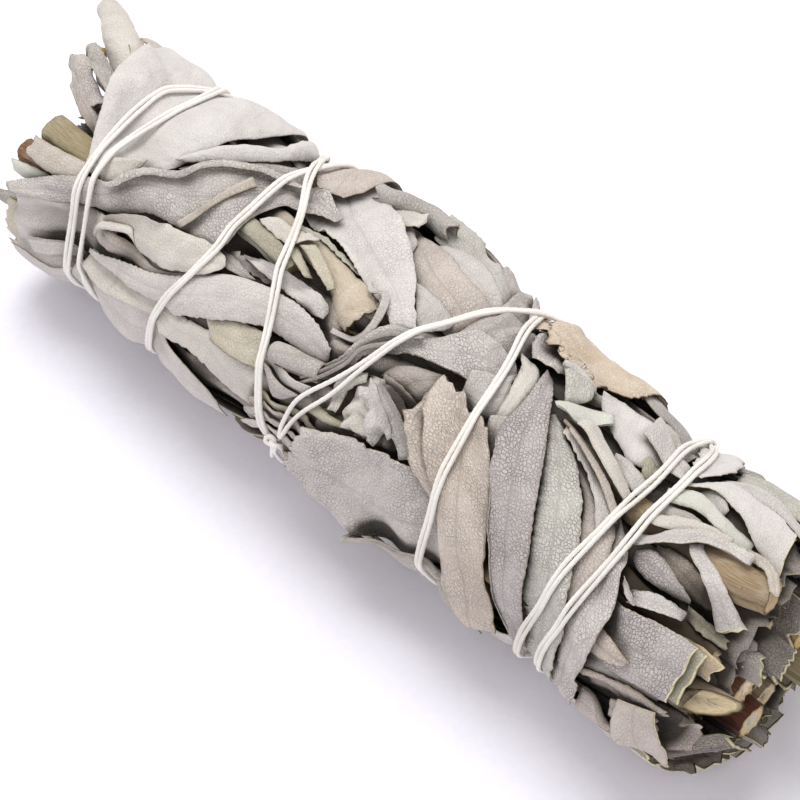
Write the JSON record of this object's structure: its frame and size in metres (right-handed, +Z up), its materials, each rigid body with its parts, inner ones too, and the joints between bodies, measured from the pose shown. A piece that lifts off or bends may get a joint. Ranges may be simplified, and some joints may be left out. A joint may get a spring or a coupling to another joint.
{
  "type": "dried herb bundle",
  "caption": "Hand-tied bunch of dried white sage leaves and cut stems, wound with doubled cotton string and lying on its side.",
  "frame": {"origin": "middle of the bunch's footprint, on the surface that it lies on", "axes": "+X along the bunch to the cut stems, +Z up, -Y the side that the string is tied on"},
  "size_m": [0.1284, 0.0351, 0.033],
  "materials": {
    "leaf_pale": "matt, felted, pale lavender grey",
    "leaf_dull": "matt, felted, grey",
    "leaf_green": "matt, felted, grey green",
    "leaf_tan": "matt, dry, tan",
    "stem": "matt, ribbed, tan to olive",
    "bark": "matt, brown bark",
    "cotton": "matt twisted cotton"
  },
  "bodies": {
    "root": {"main_stem_woody": "bark", "main_stem_front": "stem", "main_stem_upper": "stem", "main_stem_rear": "stem", "main_stem_low_rear": "stem", "main_stem_low": "stem", "inner_leaf_tip_top": "leaf_dull", "inner_leaf_tip_front": "leaf_dull", "inner_leaf_tip_low": "leaf_dull", "inner_leaf_tip_rear": "leaf_dull", "inner_leaf_cut_top": "leaf_dull", "inner_leaf_cut_front": "leaf_dull", "inner_leaf_cut_rear": "leaf_dull", "side_stem_knotty": "stem", "side_stem_split": "stem", "side_stem_tan": "stem", "side_stem_broken": "stem", "side_stem_rear": "stem", "tip_twig": "stem", "back_leaf_tip_low": "leaf_pale", "back_leaf_cut_high": "leaf_dull", "back_leaf_middle": "leaf_green", "back_leaf_tip_high": "leaf_pale", "back_leaf_cut_low": "leaf_pale", "low_leaf_front": "leaf_dull", "low_leaf_cut": "leaf_green", "low_leaf_tip": "leaf_pale", "tip_leaf_lavender": "leaf_dull", "tip_leaf_finger": "leaf_green", "ridge_leaf_back": "leaf_dull", "cut_leaf_ruffled": "leaf_green", "cut_leaf_pinkish": "leaf_dull", "cut_leaf_square": "leaf_pale", "band_leaf": "leaf_green", "long_veined_leaf": "leaf_pale", "broad_crossing_leaf": "leaf_pale", "smooth_tip_leaf": "leaf_pale", "blunt_leaf": "leaf_pale", "looped_leaf": "leaf_pale", "slit_leaf": "leaf_pale", "petiole_leaf": "leaf_green", "crinkled_leaf": "leaf_dull", "wide_low_leaf": "leaf_pale", "veined_fan_leaf": "leaf_dull", "green_fan_leaf": "leaf_green", "ragged_tan_leaf": "leaf_tan", "scalloped_leaf": "leaf_pale", "torn_brown_leaf": "leaf_tan", "folded_top_leaf": "leaf_green", "whitish_top_leaf": "leaf_pale", "edge_top_leaf": "leaf_pale", "long_cross_leaf": "leaf_pale", "cut_leaf_whitish": "leaf_pale", "cut_leaf_curved": "leaf_green", "resting_leaf_tip": "leaf_pale", "resting_leaf_middle": "leaf_pale", "resting_leaf_cut": "leaf_pale", "tie_string": "cotton"}
  },
  "joints": []
}
